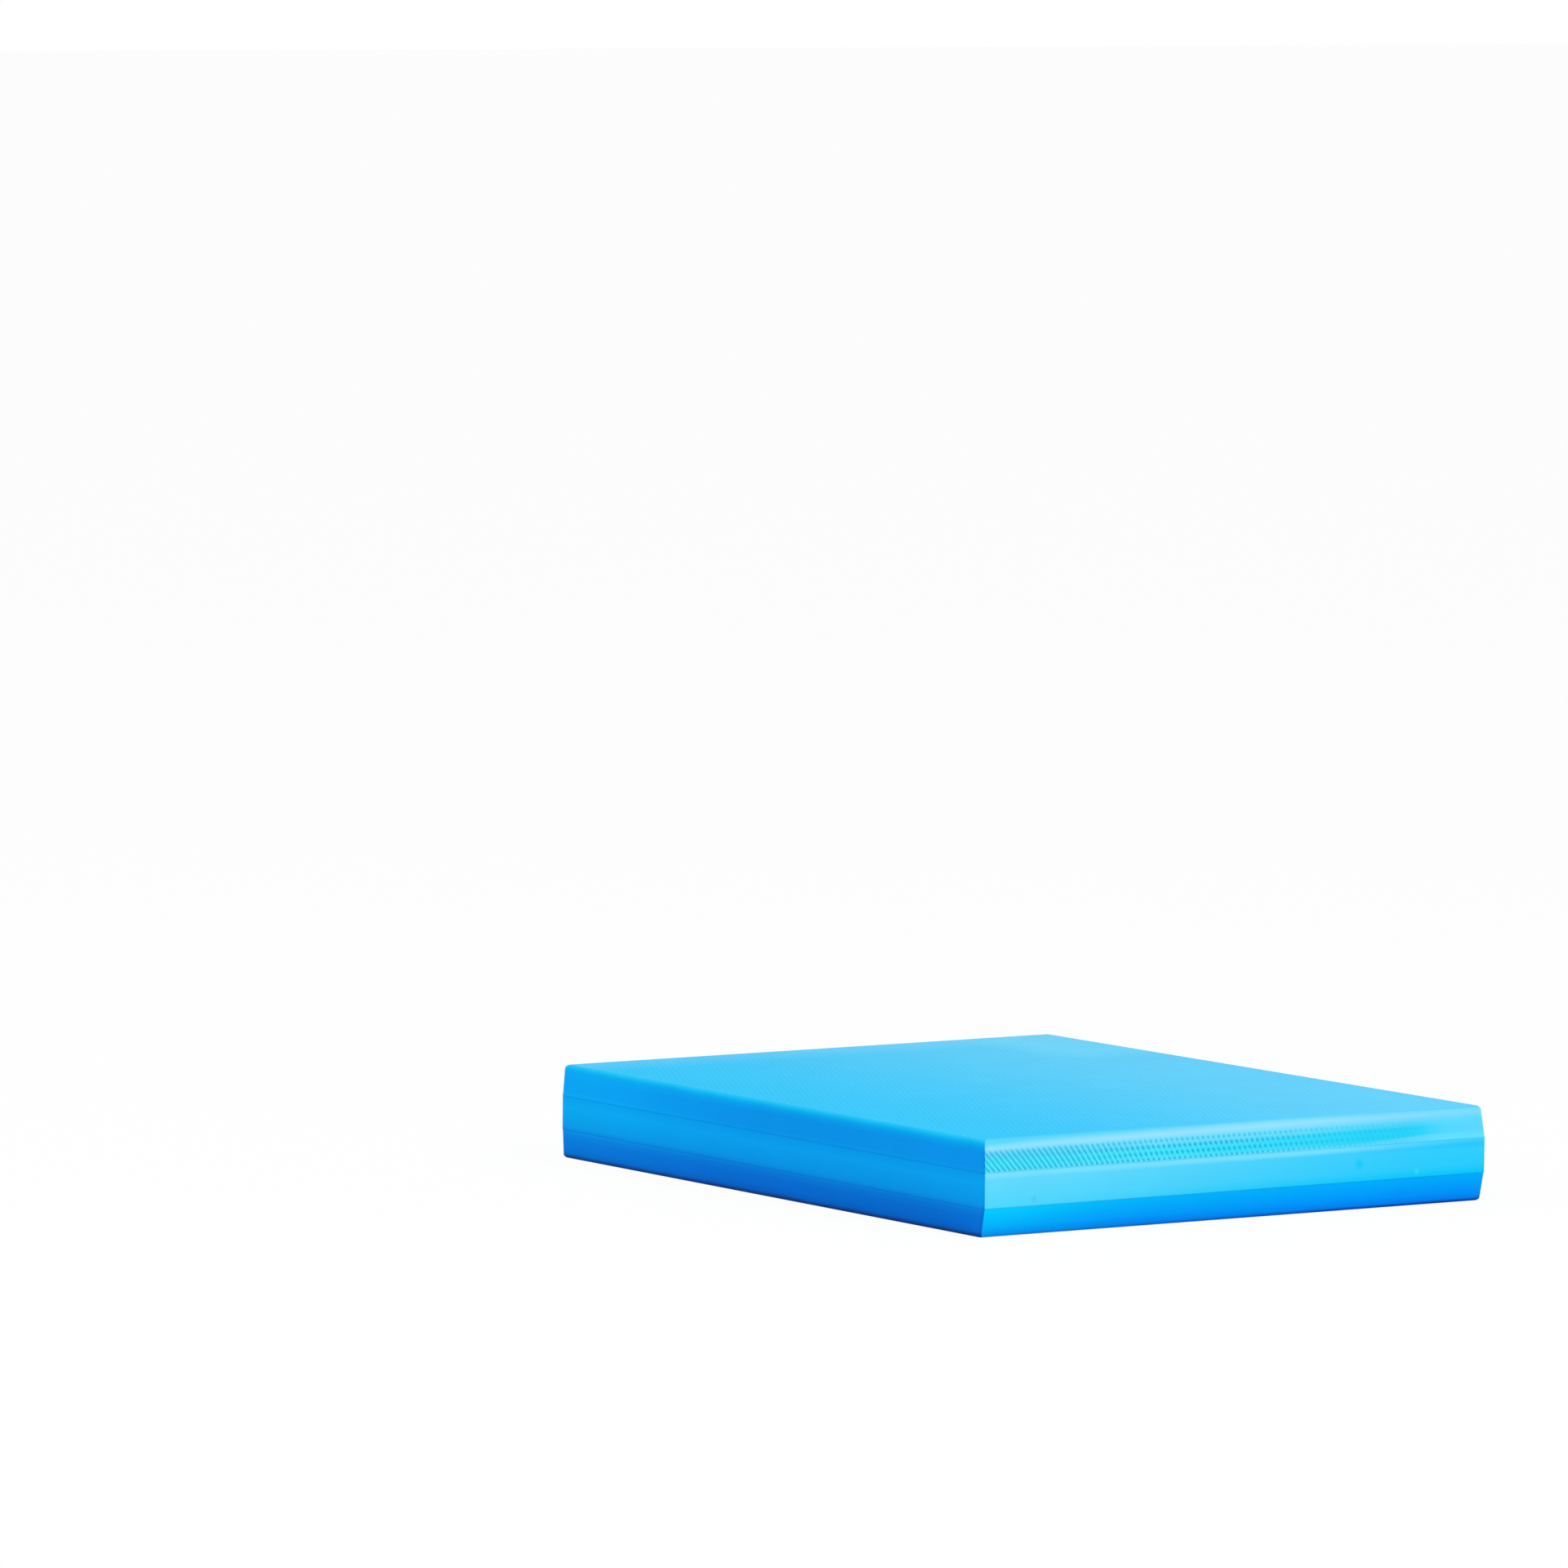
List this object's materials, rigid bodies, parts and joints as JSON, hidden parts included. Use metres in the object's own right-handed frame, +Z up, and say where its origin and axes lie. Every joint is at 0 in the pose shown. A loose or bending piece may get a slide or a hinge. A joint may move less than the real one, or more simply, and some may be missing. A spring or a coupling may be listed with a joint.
{
  "type": "dog balance pad",
  "caption": "Rectangular laminated foam balance pad with an embossed anti-slip skin on top, drawn-in edges and a smooth band round its sides, for a dog to stand on.",
  "frame": {"origin": "on the floor, under the middle of the pad", "axes": "+X along the pad's length, towards the end whose upper band slopes in most; +Y across its width; +Z up out of the embossed top"},
  "size_m": [0.5, 0.4, 0.063],
  "materials": {
    "embossed_skin": "matt moulded closed-cell foam skin, embossed with a lattice of small pits",
    "edge_skin": "satin, smooth moulded closed-cell foam skin",
    "foam": "matt open cut faces of fine-celled foam",
    "bond_film": "thin translucent hot-melt film"
  },
  "bodies": {
    "root": {"top_skin": "embossed_skin", "top_foam_layer": "foam", "upper_bond_film": "bond_film", "core_foam_layer": "foam", "edge_band": "edge_skin", "lower_bond_film": "bond_film", "bottom_foam_layer": "foam", "bottom_skin": "embossed_skin"}
  },
  "joints": []
}
